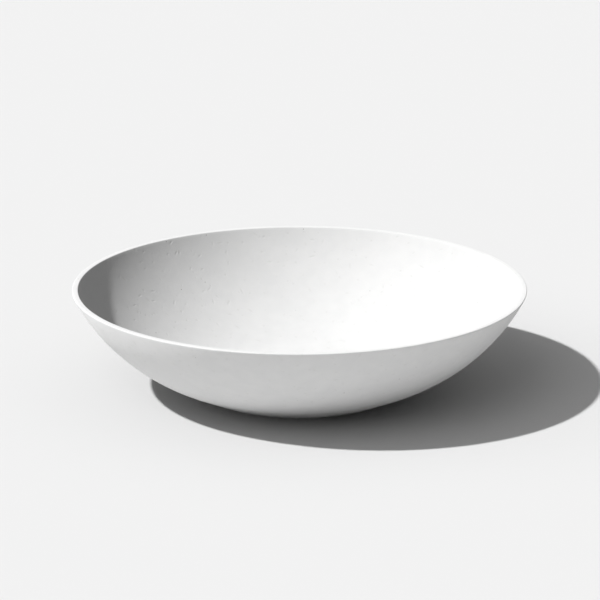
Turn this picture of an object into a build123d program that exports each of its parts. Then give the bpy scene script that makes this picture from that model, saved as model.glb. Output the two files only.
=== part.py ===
from build123d import *

import os
from math import atan2, cos, radians, sin, sqrt, tan

# A shallow round bowl planter, moulded in one piece from a stone-filled plastic.
#
# The wall's outside is one circular arc spun round the axis. At the bottom it runs
# straight on down to the ground, and at the top it ends in a flat lip. The ring where it
# stands holds the base just off the ground. The floor has a drain hole at the centre and
# four round it, each with a shallow seat for the head of a rubber plug, which pulls out
# upwards. What drains through runs out from under the base by the notches in the ring.
#
# +Z is up, with the origin on the ground at the centre of the foot. The front is -Y.
# Sizes are in millimetres.

# The bowl's wall and lip
RIM_DIAMETER = 610.0
HEIGHT = 143.0
WALL_THICKNESS = 7.5
WALL_RADIUS = 265.4  # of the arc that is the wall's outside
WALL_SLOPE_AT_RIM = 63.3  # degrees up from level
LIP_OUTER_ROUND = 1.4
LIP_INNER_ROUND = 1.6

# The foot and the base
FOOT_SLOPE = 24.5  # degrees up from level, where the wall runs straight to the ground
FOOT_INNER_DIAMETER = 244.0
FOOT_EDGE_ROUND = 0.8
FOOT_ROOT_ROUND = 1.0
BASE_CLEARANCE = 4.0  # from the ground up to the underside of the base
FLOOR_BLEND = 150.0  # radius of the bend from the level floor into the wall

# The water notches in the foot, the first of them at the back
NOTCH_COUNT = 3
FIRST_NOTCH_ANGLE = 90.0
NOTCH_WIDTH = 16.0
NOTCH_HEIGHT = 3.0
NOTCH_ROUND = 1.5

# The drain holes, each with a seat sunk in the floor
DRAIN_HOLE_RADIUS = 9.5
DRAIN_CIRCLE_RADIUS = 76.0
DRAIN_MOUTH_CHAMFER = 0.6
SEAT_RADIUS = 16.0
SEAT_DEPTH = 2.0
SEAT_EDGE_CHAMFER = 0.6

# The rubber plugs
PLUG_CLEARANCE = 0.08  # between the shank and its hole, all round
PLUG_HEAD_RADIUS = 15.2
PLUG_HEAD_EDGE = 2.2  # thickness of the head at its rim
PLUG_HEAD_CROWN = 0.9  # how much higher the head is at the waist than at its rim
PLUG_HEAD_ROUND = 0.7
PLUG_WAIST_RADIUS = 3.6
PLUG_WAIST_HEIGHT = 1.6
PLUG_KNOB_RADIUS = 5.0
PLUG_KNOB_FLARE = 1.0
PLUG_KNOB_HEIGHT = 2.6
PLUG_KNOB_ROUND = 1.2
PLUG_SHANK_LENGTH = 8.0
PLUG_TIP_RADIUS = 7.6
PLUG_TIP_LENGTH = 2.6
PLUG_TIP_ROUND = 0.6
PLUG_HOLLOW_RADIUS = 5.0
PLUG_HOLLOW_DEPTH = 6.0

# Worked out from the sizes above
RIM_RADIUS = RIM_DIAMETER / 2
RIM_SLOPE = radians(WALL_SLOPE_AT_RIM)
# Rounding draws a corner sharper than a right angle in, so it starts further out
RIM_CORNER_RADIUS = RIM_RADIUS + LIP_OUTER_ROUND * (1 / tan(RIM_SLOPE / 2) - 1)
FOOT_INNER_RADIUS = FOOT_INNER_DIAMETER / 2
FLOOR_HEIGHT = BASE_CLEARANCE + WALL_THICKNESS
SEAT_HEIGHT = FLOOR_HEIGHT - SEAT_DEPTH
PLUG_SHANK_RADIUS = DRAIN_HOLE_RADIUS - PLUG_CLEARANCE
CUT_PAST = 2.0  # how far a cutter runs past the faces that it opens


def round_corners(face, rounds):
    """Rounds the named corners of a flat section: pairs of a corner and its radius."""
    for corner, radius in rounds:
        vertex = face.vertices().sort_by_distance(Vector(*corner))[0]
        face = fillet(vertex, radius)
    return face


def spin(section):
    """Stands a section of (distance from the axis, height) upright and spins it round Z."""
    return revolve(Plane.XZ * section, Axis.Z)


class WallArc:
    """One face of the wall: a circular arc, concentric with the outer face's."""

    def __init__(self, inset=0.0):
        self.centre_out = RIM_CORNER_RADIUS - WALL_RADIUS * sin(RIM_SLOPE)
        self.centre_up = HEIGHT + WALL_RADIUS * cos(RIM_SLOPE)
        self.radius = WALL_RADIUS - inset

    def at_slope(self, slope):
        """The arc's point with a slope, as (distance from the axis, height)."""
        return self.centre_out + self.radius * sin(slope), self.centre_up - self.radius * cos(slope)

    def at_height(self, height):
        """The arc's point at a height, as (distance from the axis, height)."""
        return self.centre_out + sqrt(self.radius**2 - (self.centre_up - height) ** 2), height

    def curve(self, first, last):
        """The stretch of the arc between two of its points."""
        turns = [atan2(out - self.centre_out, self.centre_up - up) for out, up in (first, last)]
        middle = sum(turns) / 2
        halfway = (
            self.centre_out + self.radius * sin(middle),
            self.centre_up - self.radius * cos(middle),
        )
        return ThreePointArc(first, halfway, last)


def foot_radius_at(height):
    """How far from the axis the straight foot of the wall is at a height."""
    slope = radians(FOOT_SLOPE)
    out, up = WallArc().at_slope(slope)
    return out - (up - height) / tan(slope)


def shell_section(outer, inner):
    """Half of the bowl's section, from the axis out round the foot, wall, lip and floor."""
    base_centre = (0.0, BASE_CLEARANCE)
    recess_edge = (FOOT_INNER_RADIUS, BASE_CLEARANCE)
    foot_inside = (FOOT_INNER_RADIUS, 0.0)
    foot_outside = (foot_radius_at(0.0), 0.0)
    foot_top = outer.at_slope(radians(FOOT_SLOPE))
    lip_outside = (RIM_CORNER_RADIUS, HEIGHT)
    lip_inside = inner.at_height(HEIGHT)
    floor_edge = inner.at_height(FLOOR_HEIGHT)
    floor_centre = (0.0, FLOOR_HEIGHT)
    outline = [
        Polyline(base_centre, recess_edge, foot_inside, foot_outside, foot_top),
        outer.curve(foot_top, lip_outside),
        Line(lip_outside, lip_inside),
        inner.curve(lip_inside, floor_edge),
        Polyline(floor_edge, floor_centre, base_centre),
    ]
    rounds = [
        (recess_edge, FOOT_ROOT_ROUND),
        (foot_inside, FOOT_EDGE_ROUND),
        (foot_outside, FOOT_EDGE_ROUND),
        (lip_outside, LIP_OUTER_ROUND),
        (lip_inside, LIP_INNER_ROUND),
        (floor_edge, FLOOR_BLEND),
    ]
    return round_corners(make_face(Curve() + outline), rounds)


def drain_places():
    """Each drain hole's name and its centre on the floor: the middle, and four round it."""
    places = {"centre": (0.0, 0.0)}
    for turn, name in enumerate(("right", "back", "left", "front")):
        angle = radians(90 * turn)
        places[name] = (DRAIN_CIRCLE_RADIUS * cos(angle), DRAIN_CIRCLE_RADIUS * sin(angle))
    return places


def drain_cutter():
    """What a drain hole takes out of the floor: its seat, its bore and the eased mouth below."""
    above = FLOOR_HEIGHT + CUT_PAST
    below = BASE_CLEARANCE - CUT_PAST
    mouth = DRAIN_HOLE_RADIUS + DRAIN_MOUTH_CHAMFER
    outline = Polyline(
        (0, below),
        (mouth, below),
        (mouth, BASE_CLEARANCE),
        (DRAIN_HOLE_RADIUS, BASE_CLEARANCE + DRAIN_MOUTH_CHAMFER),
        (DRAIN_HOLE_RADIUS, SEAT_HEIGHT),
        (SEAT_RADIUS, SEAT_HEIGHT),
        (SEAT_RADIUS, FLOOR_HEIGHT - SEAT_EDGE_CHAMFER),
        (SEAT_RADIUS + SEAT_EDGE_CHAMFER, FLOOR_HEIGHT),
        (SEAT_RADIUS + SEAT_EDGE_CHAMFER, above),
        (0, above),
        (0, below),
    )
    return spin(make_face(outline))


def notch_cutter():
    """What a water notch takes out of the foot, on the +X side: a slot with a rounded roof."""
    start = FOOT_INNER_RADIUS - CUT_PAST
    end = foot_radius_at(NOTCH_HEIGHT) + CUT_PAST
    slot = RectangleRounded(NOTCH_WIDTH, 2 * NOTCH_HEIGHT, NOTCH_ROUND)
    return extrude(Plane.YZ.offset(start) * slot, end - start)


def bowl_shell():
    shell = spin(shell_section(WallArc(), WallArc(inset=WALL_THICKNESS)))
    for x, y in drain_places().values():
        shell -= Pos(x, y, 0) * drain_cutter()
    for step in range(NOTCH_COUNT):
        shell -= Rot(0, 0, FIRST_NOTCH_ANGLE + step * 360 / NOTCH_COUNT) * notch_cutter()
    return shell


def drain_plug():
    """A plug in the centre hole: hollow shank, domed head, and a knob on a waist to pull."""
    head_rim = SEAT_HEIGHT + PLUG_HEAD_EDGE
    head_top = head_rim + PLUG_HEAD_CROWN
    knob_under = head_top + PLUG_WAIST_HEIGHT
    knob_top = knob_under + PLUG_KNOB_FLARE + PLUG_KNOB_HEIGHT
    tip = SEAT_HEIGHT - PLUG_SHANK_LENGTH
    hollow_top = tip + PLUG_HOLLOW_DEPTH
    crown_middle = ((PLUG_HEAD_RADIUS + PLUG_WAIST_RADIUS) / 2, head_rim + 0.75 * PLUG_HEAD_CROWN)
    outline = [
        Polyline(
            (0, hollow_top),
            (PLUG_HOLLOW_RADIUS, hollow_top),
            (PLUG_HOLLOW_RADIUS, tip),
            (PLUG_TIP_RADIUS, tip),
            (PLUG_SHANK_RADIUS, tip + PLUG_TIP_LENGTH),
            (PLUG_SHANK_RADIUS, SEAT_HEIGHT),
            (PLUG_HEAD_RADIUS, SEAT_HEIGHT),
            (PLUG_HEAD_RADIUS, head_rim),
        ),
        ThreePointArc((PLUG_HEAD_RADIUS, head_rim), crown_middle, (PLUG_WAIST_RADIUS, head_top)),
        Polyline(
            (PLUG_WAIST_RADIUS, head_top),
            (PLUG_WAIST_RADIUS, knob_under),
            (PLUG_KNOB_RADIUS, knob_under + PLUG_KNOB_FLARE),
            (PLUG_KNOB_RADIUS, knob_top),
            (0, knob_top),
            (0, hollow_top),
        ),
    ]
    rounds = [
        ((PLUG_HEAD_RADIUS, head_rim), PLUG_HEAD_ROUND),
        ((PLUG_KNOB_RADIUS, knob_top), PLUG_KNOB_ROUND),
        ((PLUG_TIP_RADIUS, tip), PLUG_TIP_ROUND),
    ]
    return spin(round_corners(make_face(Curve() + outline), rounds))


def main():
    os.makedirs("parts", exist_ok=True)
    lip_width = RIM_CORNER_RADIUS - WallArc(inset=WALL_THICKNESS).at_height(HEIGHT)[0]
    print(f"foot: radius {foot_radius_at(0.0):.1f}, lip: {lip_width:.2f} wide")
    export_step(bowl_shell(), "parts/bowl_shell.step")
    for name, (x, y) in drain_places().items():
        export_step(Pos(x, y, 0) * drain_plug(), f"parts/drain_plug_{name}.step")


main()
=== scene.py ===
# %% [markdown]
# # A shallow white bowl planter
#
# This lesson dresses a bowl planter that was first built as a solid model. The bowl is
# 610 mm across, moulded in one piece from a plastic filled with stone powder. Five black
# rubber plugs close the drain holes in its floor.
#
# The solid model is loaded first and never touched. It fixes where everything is and
# how the plugs move. The bowl and the plugs are then modelled again with finer edges,
# given their finishes, and put before a camera and lamps.

# %% Load the solid model
from math import acos, asin, atan2, cos, degrees, pi, radians, sin, tan

import bmesh
import bpy
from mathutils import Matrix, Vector


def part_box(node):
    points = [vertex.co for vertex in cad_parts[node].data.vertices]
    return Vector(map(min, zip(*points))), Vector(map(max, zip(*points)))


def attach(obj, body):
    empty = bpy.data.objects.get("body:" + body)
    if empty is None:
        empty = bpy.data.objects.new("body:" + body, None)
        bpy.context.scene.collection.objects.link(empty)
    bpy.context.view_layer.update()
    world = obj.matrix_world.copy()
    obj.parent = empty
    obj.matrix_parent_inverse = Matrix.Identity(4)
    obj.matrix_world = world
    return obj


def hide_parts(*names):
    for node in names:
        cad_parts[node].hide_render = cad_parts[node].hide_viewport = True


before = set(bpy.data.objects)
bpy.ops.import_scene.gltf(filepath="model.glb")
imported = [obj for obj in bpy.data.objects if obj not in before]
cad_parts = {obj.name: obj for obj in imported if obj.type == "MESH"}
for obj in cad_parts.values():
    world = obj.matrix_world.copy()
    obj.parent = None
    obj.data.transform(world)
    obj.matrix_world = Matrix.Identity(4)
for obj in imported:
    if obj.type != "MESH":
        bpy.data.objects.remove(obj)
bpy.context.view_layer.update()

print("its nodes:", sorted(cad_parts))

# %% [markdown]
# ## The bowl's sizes
#
# The bowl is round, so one half of its section says everything about it. The wall's
# outside is an arc, steep at the lip, that runs straight on to the ground at the foot.
# The two outermost sizes are read from the solid model, and the rest are the mould
# maker's own numbers, in millimetres. Blender works in metres, so each is multiplied
# by MM.

# %% Sizes of the bowl
MM = 0.001
shell_low, shell_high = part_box("bowl_shell")
rounding_error = 0.07 * MM    # the rounded lip comes out about this much further out
rim_radius = shell_high.x - rounding_error
height = shell_high.z

wall = 7.5 * MM
outer_arc = 265.4 * MM
rim_slope = radians(63.3)
lip_outer_round = 1.4 * MM
lip_inner_round = 1.6 * MM
foot_slope = radians(24.5)
foot_inside = 122 * MM
foot_edge_round = 0.8 * MM
foot_root_round = 1.0 * MM
base_underside = 4 * MM
floor_top = base_underside + wall
print(f"rim radius {rim_radius / MM:.1f} mm, height {height / MM:.1f} mm")

# %% [markdown]
# ## The wall's arcs
#
# Three arcs make the section: the outside of the wall, the inside of the wall with the
# same centre, and a wide bend that carries the level floor into the wall. The straight
# foot leaves the outer arc where the arc has the foot's slope. Rounding the sharp outer
# corner of the lip draws it in, so the corner itself starts further out.

# %% Centres and radii of the arcs
rim_corner = rim_radius + lip_outer_round * (1 / tan(rim_slope / 2) - 1)
inner_arc = outer_arc - wall
wall_centre = Vector((rim_corner - outer_arc * sin(rim_slope), 0, height + outer_arc * cos(rim_slope)))
foot_top = wall_centre + outer_arc * Vector((sin(foot_slope), 0, -cos(foot_slope)))
foot_radius = foot_top.x - foot_top.z / tan(foot_slope)

floor_bend = 150 * MM
bend_drop = wall_centre.z - floor_top - floor_bend
bend_slope = acos(bend_drop / (inner_arc - floor_bend))
bend_centre = Vector((wall_centre.x + bend_drop * tan(bend_slope), 0, floor_top + floor_bend))
inner_rim_slope = acos((wall_centre.z - height) / inner_arc)
print(f"foot radius {foot_radius / MM:.1f} mm, bend up to {degrees(bend_slope):.1f} degrees")

# %% [markdown]
# ## A pencil for sections
#
# A section can be drawn by hand in edit mode: start from one vertex, extrude it to each
# corner, and spin it about a centre for each arc. A plane merged to its middle gives
# that first vertex. Corners are drawn sharp and bevelled afterwards, because a bevel
# keeps both neighbours straight and gives the same rounding every time.

# %% Draw a section
def clear_selection():
    """Nothing is selected and no object is being edited."""
    if bpy.context.object and bpy.context.object.mode != "OBJECT":
        bpy.ops.object.mode_set(mode="OBJECT")
    bpy.ops.object.select_all(action="DESELECT")


class Pencil:
    """Draws a half section in the XZ plane. Its points are (distance from the axis, height)."""

    def __init__(self, name, out, up):
        clear_selection()
        bpy.ops.mesh.primitive_plane_add(size=MM)
        self.object = bpy.context.object
        self.object.name = self.object.data.name = name
        bpy.ops.object.mode_set(mode="EDIT")
        bpy.ops.mesh.merge(type="CENTER")
        bpy.ops.transform.translate(value=(out, 0, up))
        self.at = Vector((out, 0, up))

    def line(self, out, up):
        step = Vector((out, 0, up)) - self.at
        bpy.ops.mesh.extrude_region_move(TRANSFORM_OT_translate={"value": step})
        self.at += step

    def arc(self, centre, turn, steps):
        """Turns about a centre; a positive turn climbs outwards along the bottom of its circle."""
        bpy.ops.mesh.spin(steps=steps, angle=turn, center=centre, axis=(0, 1, 0))
        arm = self.at - centre
        start = atan2(arm.x, -arm.z)
        self.at = centre + arm.length * Vector((sin(start + turn), 0, -cos(start + turn)))


def pick(shape_object, wanted, kind="verts"):
    """In edit mode, selects what wanted(place) holds for, and gives the number."""
    bpy.ops.mesh.select_all(action="DESELECT")
    shape = bmesh.from_edit_mesh(shape_object.data)
    found = 0
    for item in getattr(shape, kind):
        place = item.co if kind == "verts" else (item.verts[0].co + item.verts[1].co) / 2
        if wanted(place):
            item.select_set(True)
            found += 1
    bmesh.update_edit_mesh(shape_object.data)
    return found


def round_corner(shape_object, out, up, radius, opening, segments=4):
    """Bevels the section's corner at a place into an arc. opening is the angle inside the corner."""
    corner = Vector((out, 0, up))
    found = pick(shape_object, lambda place: (place - corner).length < 0.01 * MM)
    reach = radius / tan(opening / 2)
    bpy.ops.mesh.bevel(offset=reach, offset_type="OFFSET", segments=segments, affect="VERTICES")
    print(f"rounded {found} corner at {out / MM:.1f}, {up / MM:.1f} mm")


# %% [markdown]
# ## The bowl's half section
#
# The centre drain hole is part of the section, so nothing has to close at the axis. The
# walk starts under the base at the mouth of that hole, goes round the foot, up the
# outside, over the lip, down the inside, across the floor and into the plug's seat.

# %% Draw the bowl's section
drain_radius = 9.5 * MM
drain_mouth = 0.6 * MM
seat_radius = 16 * MM
seat_depth = 2 * MM
seat_edge = 0.6 * MM
seat_top = floor_top - seat_depth
level_ring = 98 * MM      # a ring of vertices that keeps the drilled floor level

pencil = Pencil("planter_bowl", drain_radius + drain_mouth, base_underside)
pencil.line(foot_inside, base_underside)
pencil.line(foot_inside, 0)
pencil.line(foot_radius, 0)
pencil.line(foot_top.x, foot_top.z)
pencil.arc(wall_centre, rim_slope - foot_slope, steps=48)
print("lip corner at", [round(v / MM, 2) for v in pencil.at])
lip_inside = wall_centre.x + inner_arc * sin(inner_rim_slope)
pencil.line(lip_inside, height)
pencil.arc(wall_centre, bend_slope - inner_rim_slope, steps=42)
pencil.arc(bend_centre, -bend_slope, steps=16)
pencil.line(level_ring, floor_top)
pencil.line(seat_radius + seat_edge, floor_top)
pencil.line(seat_radius, floor_top - seat_edge)
pencil.line(seat_radius, seat_top)
pencil.line(drain_radius, seat_top)
pencil.line(drain_radius, base_underside + drain_mouth)
pencil.line(drain_radius + drain_mouth, base_underside)
bowl = pencil.object
bpy.ops.mesh.select_all(action="SELECT")
bpy.ops.mesh.remove_doubles(threshold=0.001 * MM)

# %% [markdown]
# ## Rounding the bowl's corners
#
# A moulded edge is never sharp: the mould is cut with a small radius so that the plastic
# fills it and lets go of it. The lip has the largest rounds, because it is what hands
# hold and what the light catches, so its rounds get the most segments.

# %% Round the bowl's corners
square = pi / 2
round_corner(bowl, foot_inside, base_underside, foot_root_round, square)
round_corner(bowl, foot_inside, 0, foot_edge_round, square)
round_corner(bowl, foot_radius, 0, foot_edge_round, pi - foot_slope)
round_corner(bowl, rim_corner, height, lip_outer_round, rim_slope, segments=8)
round_corner(bowl, lip_inside, height, lip_inner_round, pi - inner_rim_slope, segments=6)
bpy.ops.object.mode_set(mode="OBJECT")
print("section:", len(bowl.data.vertices), "points")

# %% [markdown]
# ## Spinning the bowl
#
# A potter's wheel turns clay into a bowl, and Blender's spin does the same with a
# section. One turn in 360 steps keeps the lip's outline smooth even close up. The first
# and the last copy of the section fall together, so they are merged, and the normals are
# then made to point outwards.

# %% Spin the section into the bowl
def spin_round(shape_object, steps):
    """Spins the whole section once round Z and closes the seam."""
    clear_selection()
    bpy.context.view_layer.objects.active = shape_object
    shape_object.select_set(True)
    bpy.ops.object.mode_set(mode="EDIT")
    bpy.ops.mesh.select_all(action="SELECT")
    bpy.ops.mesh.spin(steps=steps, angle=2 * pi, center=(0, 0, 0), axis=(0, 0, 1))
    bpy.ops.mesh.select_all(action="SELECT")
    bpy.ops.mesh.remove_doubles(threshold=0.002 * MM)
    bpy.ops.mesh.normals_make_consistent(inside=False)
    bpy.ops.object.mode_set(mode="OBJECT")


spin_round(bowl, steps=360)
print("bowl:", len(bowl.data.polygons), "faces")

# %% [markdown]
# ## Drilling the floor and notching the foot
#
# Four more drain holes lie round the centre one, and three notches let the water out
# from under the foot, one of them at the back. A cutter is modelled once for each, copied
# round the axis, and taken out of the bowl by a Boolean modifier. The drill's section
# repeats the centre hole's seat and bore, so all five holes match.

# %% The drill
drain_circle = 76 * MM
clear_of_faces = 2 * MM   # how far a cutter runs past the faces that it opens

drill_pencil = Pencil("drill", 0, base_underside - clear_of_faces)
drill_pencil.line(drain_radius + drain_mouth, base_underside - clear_of_faces)
drill_pencil.line(drain_radius + drain_mouth, base_underside)
drill_pencil.line(drain_radius, base_underside + drain_mouth)
drill_pencil.line(drain_radius, seat_top)
drill_pencil.line(seat_radius, seat_top)
drill_pencil.line(seat_radius, floor_top - seat_edge)
drill_pencil.line(seat_radius + seat_edge, floor_top)
drill_pencil.line(seat_radius + seat_edge, floor_top + clear_of_faces)
drill_pencil.line(0, floor_top + clear_of_faces)
bpy.ops.object.mode_set(mode="OBJECT")
drill = drill_pencil.object
spin_round(drill, steps=72)

# %% [markdown]
# ## The notch cutter
#
# A notch is a low slot with a rounded roof, so that it leaves the mould easily. A cube is
# stretched to the slot's size, twice as high as the slot, with its lower half below the
# ground. Its upper long edges are bevelled, and then it moves out to the ring.

# %% The notch cutter
notch_width = 16 * MM
notch_height = 3 * MM
notch_round = 1.5 * MM
notch_start = foot_inside - clear_of_faces
notch_end = foot_radius + notch_height / tan(foot_slope) + clear_of_faces

clear_selection()
bpy.ops.mesh.primitive_cube_add(size=1, location=(0, 0, 0))
notch = bpy.context.object
notch.name = notch.data.name = "notch_cutter"
bpy.ops.object.mode_set(mode="EDIT")
bpy.ops.transform.resize(value=(notch_end - notch_start, notch_width, 2 * notch_height))
pick(notch, lambda place: abs(place.x) < MM and place.z > 0 and abs(place.y) > MM, "edges")
bpy.ops.mesh.bevel(offset=notch_round, offset_type="OFFSET", segments=5)
bpy.ops.mesh.select_all(action="SELECT")
bpy.ops.transform.translate(value=((notch_start + notch_end) / 2, 0, 0))
bpy.ops.object.mode_set(mode="OBJECT")

# %% [markdown]
# ## Cutting with copies
#
# Each cutter is copied and turned round the axis to where it cuts. The copy's mesh is
# turned, and the object stays as it is, so that nothing has to be applied afterwards.

# %% Cut with copies round the axis
def copy_piece(source, name):
    """A copy with its own mesh, left selected and active."""
    clear_selection()
    source.select_set(True)
    bpy.context.view_layer.objects.active = source
    bpy.ops.object.duplicate()
    twin = bpy.context.object
    twin.name = twin.data.name = name
    return twin


def turn_mesh(angle):
    """Turns the active mesh about Z in edit mode, so that the object itself stays unturned."""
    bpy.ops.object.mode_set(mode="EDIT")
    bpy.ops.mesh.select_all(action="SELECT")
    bpy.ops.transform.rotate(value=-angle, orient_axis="Z", center_override=(0, 0, 0))
    bpy.ops.object.mode_set(mode="OBJECT")


def shift_mesh(step):
    """Moves the active mesh in edit mode, so that the object itself stays at the origin."""
    bpy.ops.object.mode_set(mode="EDIT")
    bpy.ops.mesh.select_all(action="SELECT")
    bpy.ops.transform.translate(value=step)
    bpy.ops.object.mode_set(mode="OBJECT")


def cut_away(target, cutter):
    """Takes the cutter out of the target and deletes the cutter."""
    clear_selection()
    bpy.context.view_layer.objects.active = target
    modifier = target.modifiers.new("cut", "BOOLEAN")
    modifier.operation = "DIFFERENCE"
    modifier.solver = "EXACT"
    modifier.object = cutter
    bpy.ops.object.modifier_apply(modifier="cut")
    bpy.data.objects.remove(cutter)


for angle in (0, 90, 180, 270):
    one_drill = copy_piece(drill, f"drill_{angle}")
    shift_mesh((drain_circle, 0, 0))
    turn_mesh(radians(angle))
    cut_away(bowl, one_drill)
for angle in (90, 210, 330):
    one_notch = copy_piece(notch, f"notch_{angle}")
    turn_mesh(radians(angle))
    cut_away(bowl, one_notch)
bpy.data.objects.remove(drill)
bpy.data.objects.remove(notch)

# %% [markdown]
# ## Is it still one closed skin?
#
# A solid thing has a closed skin, where each edge joins exactly two faces. Counting the
# edges that don't shows at once if a cut has torn the mesh. The volume should be near
# the solid model's, which is 2.9 litres of plastic.

# %% Measure the bowl
def open_edges(shape_object):
    """How many edges don't join exactly two faces, and the volume inside in cubic metres."""
    shape = bmesh.new()
    shape.from_mesh(shape_object.data)
    count = sum(not edge.is_manifold for edge in shape.edges)
    volume = shape.calc_volume(signed=True)
    shape.free()
    return count, round(volume, 7)


print("bowl: open edges and volume", open_edges(bowl), "faces", len(bowl.data.polygons))

# %% [markdown]
# ## The plugs
#
# A plug is a turned rubber stopper: a hollow shank with a tapered tip, a low domed head
# that fills its seat, and a knob on a waist to pull it by. It is drawn and spun like
# the bowl. One plug is modelled, and the five are copies with meshes of their own,
# because each moves by itself.

# %% Draw the plug's section
plug_low, plug_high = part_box("drain_plug_centre")
head_radius = plug_high.x
knob_top = plug_high.z
tip = plug_low.z

shank_radius = 9.42 * MM
head_rim = seat_top + 2.2 * MM
head_top = head_rim + 0.9 * MM
waist_radius = 3.6 * MM
knob_under = head_top + 1.6 * MM
knob_radius = 5 * MM
knob_flare = 1 * MM
tip_radius = 7.6 * MM
tip_length = 2.6 * MM
hollow_radius = 5 * MM
hollow_top = tip + 6 * MM

crown_rise = head_top - head_rim
crown_run = head_radius - waist_radius
crown_arc = (crown_run ** 2 + crown_rise ** 2) / (2 * crown_rise)
crown_centre = Vector((waist_radius, 0, head_top - crown_arc))
crown_turn = asin(crown_run / crown_arc)

plug_pencil = Pencil("drain_plug", 0, hollow_top)
plug_pencil.line(hollow_radius, hollow_top)
plug_pencil.line(hollow_radius, tip)
plug_pencil.line(tip_radius, tip)
plug_pencil.line(shank_radius, tip + tip_length)
plug_pencil.line(shank_radius, seat_top)
plug_pencil.line(head_radius, seat_top)
plug_pencil.line(head_radius, head_rim)
plug_pencil.arc(crown_centre, crown_turn, steps=10)
plug_pencil.line(waist_radius, knob_under)
plug_pencil.line(knob_radius, knob_under + knob_flare)
plug_pencil.line(knob_radius, knob_top)
plug_pencil.line(0, knob_top)
plug = plug_pencil.object
print("crown ends at", [round(v / MM, 2) for v in plug_pencil.at])

# %% [markdown]
# ## Rounding and spinning the plug
#
# Rubber needs round corners even more than hard plastic does: it is pulled out of its
# mould while it is soft, and a sharp corner would tear. The knob's top has the largest
# round, where a thumb and finger take hold.

# %% Round the plug's corners and spin it
round_corner(plug, head_radius, head_rim, 0.7 * MM, square + crown_turn)
round_corner(plug, head_radius, seat_top, 0.3 * MM, square)
round_corner(plug, waist_radius, head_top, 0.6 * MM, square)
round_corner(plug, waist_radius, knob_under, 0.5 * MM, square)
round_corner(plug, knob_radius, knob_under + knob_flare, 0.5 * MM, square)
round_corner(plug, knob_radius, knob_top, 1.2 * MM, square, segments=6)
round_corner(plug, tip_radius, tip, 0.6 * MM, square)
round_corner(plug, hollow_radius, tip, 0.4 * MM, square)
bpy.ops.object.mode_set(mode="OBJECT")
spin_round(plug, steps=72)
print("plug: open edges and volume", open_edges(plug), "faces", len(plug.data.polygons))

# %% [markdown]
# ## Setting the plugs
#
# Each plug sits in its own hole: one at the centre and four round it. A piece's object
# stays at the origin, so it is the mesh that moves to its hole. Riding says which part
# of the solid model carries a piece, and replacing hides the plain solid underneath.

# %% Set a plug in each hole
plug_places = {
    "centre": (0, 0, 0),
    "right": (drain_circle, 0, 0),
    "back": (0, drain_circle, 0),
    "left": (-drain_circle, 0, 0),
    "front": (0, -drain_circle, 0),
}
plugs = []
for name, place in plug_places.items():
    one_plug = copy_piece(plug, f"rubber_plug_{name}")
    shift_mesh(place)
    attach(one_plug, f"plug_{name}")
    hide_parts(f"drain_plug_{name}")
    plugs.append(one_plug)
bpy.data.objects.remove(plug)

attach(bowl, "bowl")
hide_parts("bowl_shell")
print("pieces:", [piece.name for piece in (bowl, *plugs)])

# %% [markdown]
# ## Smooth faces and crisp edges
#
# The faces of a turned shape should shade as one smooth surface, and the corners of the
# lip, foot and seats should stay crisp. Shading smooth by angle does both: neighbours
# that meet at less than the angle are smoothed together.

# %% Smooth the round faces
crisp_angle = radians(30)
for piece in (bowl, *plugs):
    clear_selection()
    piece.select_set(True)
    bpy.context.view_layer.objects.active = piece
    bpy.ops.object.shade_smooth_by_angle(angle=crisp_angle)


# %% [markdown]
# ## Building finishes from nodes
#
# A finish is a tree of nodes in front of the Principled shader. Short helpers keep the
# trees readable: each adds one node, joins or fills its sockets, and gives its result,
# so that a finish reads as a row of steps. All patterns are read from Object coordinates
# in metres, so a scale of 100 gives a pattern about 10 mm across, and it stays fixed to
# the piece when that moves.

# %% Node helpers
def fill(tree, socket, value):
    """Joins another node's result to a socket, or writes a plain value into it."""
    if isinstance(value, bpy.types.NodeSocket):
        tree.links.new(value, socket)
    else:
        socket.default_value = value


def add_node(tree, kind, *values, **settings):
    """Adds a node with these settings and fills its inputs from the first on."""
    node = tree.nodes.new(f"ShaderNode{kind}")
    for name, value in settings.items():
        setattr(node, name, value)
    for socket, value in zip(node.inputs, values):
        fill(tree, socket, value)
    return node


def sum_of(tree, operation, *values):
    """The result of one Math node."""
    return add_node(tree, "Math", *values, operation=operation).outputs[0]


def noise(tree, places, scale, detail=2.0):
    """A soft pattern from 0 to 1 that is about 1 / scale metres across."""
    pattern = add_node(tree, "TexNoise", places)
    pattern.inputs["Scale"].default_value = scale
    pattern.inputs["Detail"].default_value = detail
    return pattern.outputs["Fac"]


def ramp(tree, value, low, high, at_low=0.0, at_high=1.0):
    """Runs smoothly from at_low to at_high while the value runs from low to high."""
    ends = (low, high, at_low, at_high)
    return add_node(tree, "MapRange", value, *ends, interpolation_type="SMOOTHSTEP").outputs[0]


def mix_colours(tree, amount, first, second):
    """Mixes two colours. An amount of 0 is the first."""
    mixer = tree.nodes.new("ShaderNodeMix")
    mixer.data_type = "RGBA"
    for name, value in (("Factor_Float", amount), ("A_Color", first), ("B_Color", second)):
        fill(tree, next(s for s in mixer.inputs if s.identifier == name), value)
    return next(s for s in mixer.outputs if s.identifier == "Result_Color")


def bump(tree, height, depth, before=None):
    """Raises the shading by depth where height is 1. before is the bump that it is added to."""
    relief = add_node(tree, "Bump")
    relief.inputs["Strength"].default_value = 1
    relief.inputs["Distance"].default_value = depth
    tree.links.new(height, relief.inputs["Height"])
    if before:
        tree.links.new(before, relief.inputs["Normal"])
    return relief.outputs["Normal"]


def new_finish(name):
    """A new material, with its node tree and shader."""
    material = bpy.data.materials.new(name)
    material.use_nodes = True
    return material, material.node_tree, material.node_tree.nodes["Principled BSDF"]


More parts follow.
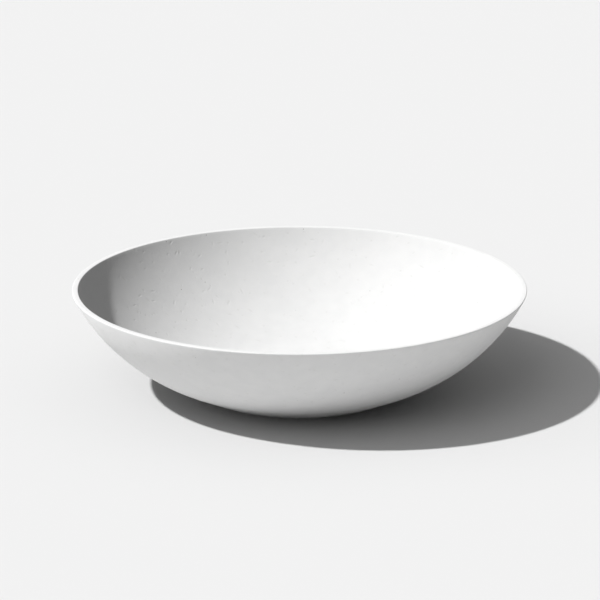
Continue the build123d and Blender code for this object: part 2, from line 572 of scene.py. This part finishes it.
# %% [markdown]
# ## Stone-filled plastic
#
# The bowl is plastic filled with stone powder. It is matt and nearly white, and up
# close it isn't quite even: it has a faint cloudiness, short shallow dints left by air
# at the mould's face, and here and there a dark grain of stone. The cloudiness comes
# first: broad noise, small noise and a fine grain are added up, and the sum moves the
# colour between two whites that hardly differ.

# %% The white of the bowl
stone_plastic, tree, shader = new_finish("stone_filled_plastic")
places = tree.nodes.new("ShaderNodeTexCoord").outputs["Object"]

broad_cloud = noise(tree, places, 13, 3)
small_cloud = noise(tree, places, 60)
grain = noise(tree, places, 650)
unevenness = sum_of(tree, "MULTIPLY_ADD", small_cloud, 0.45, sum_of(tree, "MULTIPLY", grain, 0.2))
unevenness = sum_of(tree, "MULTIPLY_ADD", broad_cloud, 0.35, unevenness)
darkest_white = (0.857, 0.858, 0.855, 1)
lightest_white = (0.886, 0.886, 0.882, 1)
white = mix_colours(tree, ramp(tree, unevenness, 0.36, 0.64), darkest_white, lightest_white)

# %% [markdown]
# ## Dints from air bubbles
#
# Each dint is a tiny stretched bubble that was caught between the plastic and its
# mould. A Voronoi pattern scatters the bubbles' centres through the whole space, each
# cell turns its own bubble another way, and only those that the surface cuts are seen.
# So the dints have all lengths from a dot to a short stroke, as the real ones do, and their hollows are
# painted a little darker as painted shade.

# %% The dints
bubbles = add_node(tree, "TexVoronoi", places)
bubbles.inputs["Scale"].default_value = 75
from_centre = add_node(tree, "VectorMath", places, bubbles.outputs["Position"], operation="SUBTRACT")
full_turns = (2 * pi, 2 * pi, 2 * pi)
turns = add_node(tree, "VectorMath", bubbles.outputs["Color"], full_turns, operation="MULTIPLY")
turned = add_node(tree, "VectorRotate", from_centre.outputs[0], rotation_type="EULER_XYZ")
tree.links.new(turns.outputs[0], turned.inputs["Rotation"])
bubble_size = (7 * MM, 2.2 * MM, 2.4 * MM)
in_bubble = add_node(tree, "VectorMath", turned.outputs[0], bubble_size, operation="DIVIDE")
how_far = add_node(tree, "VectorMath", in_bubble.outputs[0], operation="LENGTH").outputs["Value"]
dint = ramp(tree, how_far, 0, 1, 1, 0)
# painted shade: the colour inside each dint is a little darker, standing in for shade in the hollow
painted_dint_shade = (0.8, 0.8, 0.79, 1)
white = mix_colours(tree, sum_of(tree, "MULTIPLY", dint, 0.6), white, painted_dint_shade)

# %% [markdown]
# ## Grains of stone
#
# A few grains of the stone are darker than the rest and lie open at the surface. They
# are hardly a millimetre across and far apart. The cells of another Voronoi pattern give
# their centres, and the surface passes close enough to only a few of these.

# %% The grains of stone
grain_cells = add_node(tree, "TexVoronoi", places)
grain_cells.inputs["Scale"].default_value = 34
stone = ramp(tree, grain_cells.outputs["Distance"], 0.014, 0.03, 1, 0)
dark_stone = (0.3, 0.29, 0.27, 1)
white = mix_colours(tree, stone, white, dark_stone)

# %% [markdown]
# ## Scuffs where it stands
#
# A planter is heavy when it is full, and it is pushed about on rough ground. The ring's
# underside gets scuffed and takes on some dirt. The height above the ground tells where.

# %% The scuffs under the ring
height_above_ground = add_node(tree, "SeparateXYZ", places).outputs["Z"]
at_ground = ramp(tree, height_above_ground, 0.1 * MM, 0.7 * MM, 1, 0)
rubbed = sum_of(tree, "MULTIPLY", at_ground, ramp(tree, noise(tree, places, 240, 6), 0.38, 0.75))
dirt = (0.5, 0.49, 0.47, 1)
white = mix_colours(tree, sum_of(tree, "MULTIPLY", rubbed, 0.5), white, dirt)

# %% [markdown]
# ## The bowl's sheen and relief
#
# The finish is matt, with a low sheen that changes a little from place to place. Bump
# nodes tilt the shading without moving the mesh, which suits marks that are a few tenths
# of a millimetre deep: a fine grain, a soft unevenness and the dints. A rough diffuse
# surface also stays brighter where light grazes it, as a powdery one does.

# %% The sheen and the relief
gloss = ramp(tree, small_cloud, 0.35, 0.65, 0.6, 0.7)
gloss = sum_of(tree, "MULTIPLY_ADD", rubbed, 0.15, gloss)
relief = bump(tree, grain, 0.02 * MM)
relief = bump(tree, noise(tree, places, 170), 0.05 * MM, relief)
relief = bump(tree, sum_of(tree, "SUBTRACT", 1.0, dint), 0.22 * MM, relief)
tree.links.new(white, shader.inputs["Base Color"])
tree.links.new(gloss, shader.inputs["Roughness"])
tree.links.new(relief, shader.inputs["Normal"])
shader.inputs["Diffuse Roughness"].default_value = 0.32
shader.inputs["Specular IOR Level"].default_value = 0.15

bowl.data.materials.clear()
bowl.data.materials.append(stone_plastic)
print("stone-filled plastic:", len(tree.nodes), "nodes")

# %% [markdown]
# ## Black rubber
#
# The plugs are soft black rubber. Moulded rubber is dark grey rather than black, dull
# with a fine satin grain, and it holds a little pale dust on the faces that look up.

# %% The plugs' finish
rubber, tree, shader = new_finish("black_rubber")
places = tree.nodes.new("ShaderNodeTexCoord").outputs["Object"]
satin = noise(tree, places, 1400)
patches = noise(tree, places, 160, 4)
darkest_black = (0.022, 0.022, 0.023, 1)
lightest_black = (0.038, 0.038, 0.039, 1)
black = mix_colours(tree, ramp(tree, satin, 0.3, 0.7), darkest_black, lightest_black)

facing = tree.nodes.new("ShaderNodeNewGeometry").outputs["Normal"]
facing_up = add_node(tree, "SeparateXYZ", facing).outputs["Z"]
dusty = sum_of(tree, "MULTIPLY", ramp(tree, facing_up, 0.5, 1), ramp(tree, patches, 0.42, 0.72))
dust = (0.2, 0.195, 0.185, 1)
black = mix_colours(tree, sum_of(tree, "MULTIPLY", dusty, 0.35), black, dust)

tree.links.new(black, shader.inputs["Base Color"])
tree.links.new(ramp(tree, patches, 0.3, 0.7, 0.5, 0.68), shader.inputs["Roughness"])
tree.links.new(bump(tree, patches, 0.05 * MM, bump(tree, satin, 0.02 * MM)), shader.inputs["Normal"])
for one_plug in plugs:
    one_plug.data.materials.clear()
    one_plug.data.materials.append(rubber)
print("black rubber:", len(tree.nodes), "nodes")

# %% [markdown]
# ## The camera
#
# The photograph was taken from well back with a long lens, a little above the bowl, so
# the rim is a flat ellipse and near and far hardly differ in size. The camera stands
# four and a half metres off and looks down at 16.6 degrees.

# %% Set up the camera
view_distance = 4.572
view_centre = Vector((0.0007, 0, 0.123))
view_elevation = radians(16.59)
clear_selection()
bpy.ops.object.camera_add(
    location=view_centre + view_distance * Vector((0, -cos(view_elevation), sin(view_elevation))),
    rotation=(pi / 2 - view_elevation, 0, 0),
)
camera = bpy.context.object
camera.name = camera.data.name = "camera"
camera.data.sensor_width = 36
camera.data.lens = 204
bpy.context.scene.camera = camera

# %% [markdown]
# ## The floor
#
# The floor is one plain pale sheet, wide enough that no view finds its edge. It has no
# gloss, so all that it shows is the bowl's shadow.

# %% Lay the floor
bpy.ops.mesh.primitive_plane_add(size=40)
floor = bpy.context.object
floor.name = floor.data.name = "floor"
floor_paint, tree, shader = new_finish("pale_floor")
shader.inputs["Base Color"].default_value = (0.806, 0.806, 0.806, 1)
shader.inputs["Roughness"].default_value = 1
shader.inputs["Specular IOR Level"].default_value = 0
floor.data.materials.append(floor_paint)


# %% [markdown]
# ## The lamps
#
# One strong lamp from the left casts the clear shadow on the floor and inside the bowl.
# In the photograph hardly any light goes on from one side of the bowl to the other, and
# the floor stays even right up to the bowl, but light does come up from the floor onto
# the wall. So the strong lamp is in two halves that shine the same way: one lights only
# the bowl and its light stops there, and one lights only the floor and is passed on once.
#
# Three weak lamps open the shadow on the floor: one low from the left, one overhead, and
# one from the front that doesn't reach in where the wall meets the ground. One more, low
# from the front, fills in the outside of the bowl and the back of its inside.

# %% Hang the lamps
def sun_lamp(name, way, strength, spread, bounces, lit):
    """A lamp far off that shines one way, on the lit pieces only."""
    way = Vector(way)
    bpy.ops.object.light_add(type="SUN", location=-2 * way)
    lamp = bpy.context.object
    lamp.name = lamp.data.name = name
    lamp.rotation_mode = "QUATERNION"
    lamp.rotation_quaternion = way.to_track_quat("-Z", "Y")
    lamp.data.energy = strength
    lamp.data.angle = radians(spread)
    lamp.data.cycles.max_bounces = bounces
    lamp.data.cycles.use_multiple_importance_sampling = False
    lit_pieces = bpy.data.collections.new(f"lit_by_{name}")
    for piece in lit:
        lit_pieces.objects.link(piece)
    lamp.light_linking.receiver_collection = lit_pieces
    print(f"{name}: {strength} W/m2, spread over {spread} degrees")


key_way = (0.5903, 0.228, -0.7743)
key_spread = 2
sun_lamp("key_lamp", key_way, 3.58, key_spread, bounces=0, lit=(bowl, *plugs))
sun_lamp("floor_lamp", key_way, 3.17, key_spread, bounces=1, lit=(floor,))
sun_lamp("side_lamp", (1, 0.1, -0.15), 0.75, 60, bounces=1, lit=(floor,))
sun_lamp("ceiling_lamp", (0, 0, -1), 0.1, 110, bounces=0, lit=(floor,))
sun_lamp("front_lamp", (0.35, 0.65, -0.67), 0.34, 40, bounces=0, lit=(floor,))
sun_lamp("fill_lamp", (0.1, 1, -0.25), 0.2, 60, bounces=0, lit=(bowl, *plugs))

# %% [markdown]
# ## The sky
#
# The rest of the light is soft and comes mostly from above, like a white ceiling, so
# the background's strength grows with the height of the direction that it comes from.
# In a world, Generated coordinates are that direction. The camera, mirrors and glass see
# a plain pale backdrop instead, which the Light Path node tells apart from light that
# falls on a surface.

# %% Set up the sky
world = bpy.data.worlds.new("studio")
world.use_nodes = True
world.cycles.sampling_method = "NONE"
bpy.context.scene.world = world
tree = world.node_tree
directions = tree.nodes.new("ShaderNodeTexCoord").outputs["Generated"]
way_up = add_node(tree, "SeparateXYZ", directions).outputs["Z"]
ceiling = add_node(tree, "Math", way_up, 0.2, 0.038, operation="MULTIPLY_ADD", use_clamp=True).outputs[0]
soft_light = add_node(tree, "Background", (1, 1, 1, 1), ceiling)
backdrop = add_node(tree, "Background", (0.887, 0.887, 0.887, 1), 1)
ray = tree.nodes.new("ShaderNodeLightPath").outputs
seen = sum_of(tree, "MAXIMUM", ray["Is Camera Ray"], ray["Is Glossy Ray"])
seen = sum_of(tree, "MAXIMUM", seen, ray["Is Transmission Ray"])
sky = add_node(tree, "MixShader", seen, soft_light.outputs[0], backdrop.outputs[0])
tree.links.new(sky.outputs[0], tree.nodes["World Output"].inputs["Surface"])

# %% [markdown]
# ## Finish
#
# The view transform stays plain, so that colours render as they are written.

# %% Finish
bpy.context.scene.view_settings.view_transform = "Standard"
